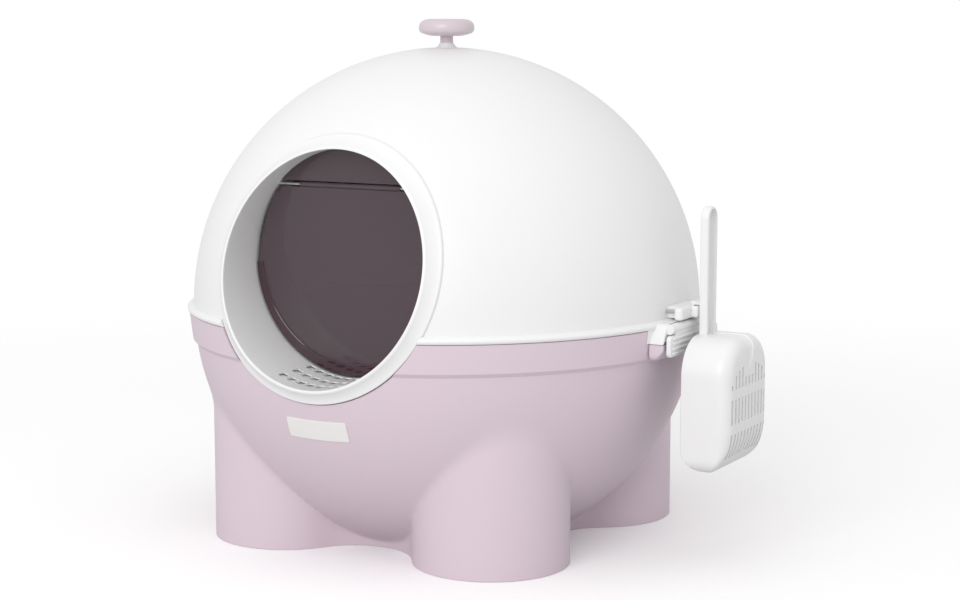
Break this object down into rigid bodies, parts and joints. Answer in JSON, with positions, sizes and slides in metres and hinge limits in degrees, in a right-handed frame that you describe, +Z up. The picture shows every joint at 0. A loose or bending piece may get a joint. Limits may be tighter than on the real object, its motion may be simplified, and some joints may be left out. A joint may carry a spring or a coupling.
{
  "type": "cat litter box with hood",
  "caption": "Ball-shaped cat litter box with a lift-off hood, round entry tunnel with a swing flap, side latches, top knob and a hanging scoop.",
  "frame": {"origin": "middle of the tub's flat bottom, on the floor under the centre of the ball", "axes": "+Z up, -Y towards the entry, +X towards the scoop"},
  "size_m": [0.5655, 0.4848, 0.4804],
  "materials": {
    "tub": "moulded polypropylene, satin, pale pink",
    "hood": "moulded polypropylene, satin, white",
    "trim": "moulded, semi-gloss, white",
    "knob": "moulded, semi-gloss, pale pink",
    "flap": "smoked clear plastic, purple brown",
    "scoop": "moulded, semi-gloss, white",
    "steel": "stainless steel",
    "label": "blank satin plate"
  },
  "bodies": {
    "tub": {"base_tub": "tub", "label_plate": "label"},
    "hood": {"hood_shell": "hood", "knob": "knob", "knob_washer": "steel", "knob_screw": "steel", "entry_tunnel": "trim", "tunnel_sleeve": "trim", "sleeve_screws": "steel", "flap_top_panel": "flap", "flap_hinge_rod": "steel", "latch_pin_left": "steel", "latch_pin_right": "steel", "scoop_holder": "trim", "holder_screws": "steel"},
    "flap": {"flap": "flap"},
    "latch_left": {"latch_lever_left": "trim"},
    "latch_right": {"latch_lever_right": "trim"},
    "scoop": {"scoop": "scoop"}
  },
  "joints": [
    {"name": "hood_lift", "type": "slide", "parent": "tub", "child": "hood", "axis": [0, 0, 1], "range_m": [0, 0.25]},
    {"name": "flap_swing", "type": "hinge", "parent": "hood", "child": "flap", "pos_m": [0, -0.167, 0.3355], "axis": [1, 0, 0], "range_deg": [-40, 70]},
    {"name": "latch_left_hinge", "type": "hinge", "parent": "hood", "child": "latch_left", "pos_m": [-0.2518, 0, 0.2115], "axis": [0, 1, 0], "range_deg": [0, 95]},
    {"name": "latch_right_hinge", "type": "hinge", "parent": "hood", "child": "latch_right", "pos_m": [0.2518, 0, 0.2115], "axis": [0, -1, 0], "range_deg": [0, 15]},
    {"name": "scoop_lift", "type": "slide", "parent": "hood", "child": "scoop", "axis": [0, 0, 1], "range_m": [0, 0.12]}
  ]
}
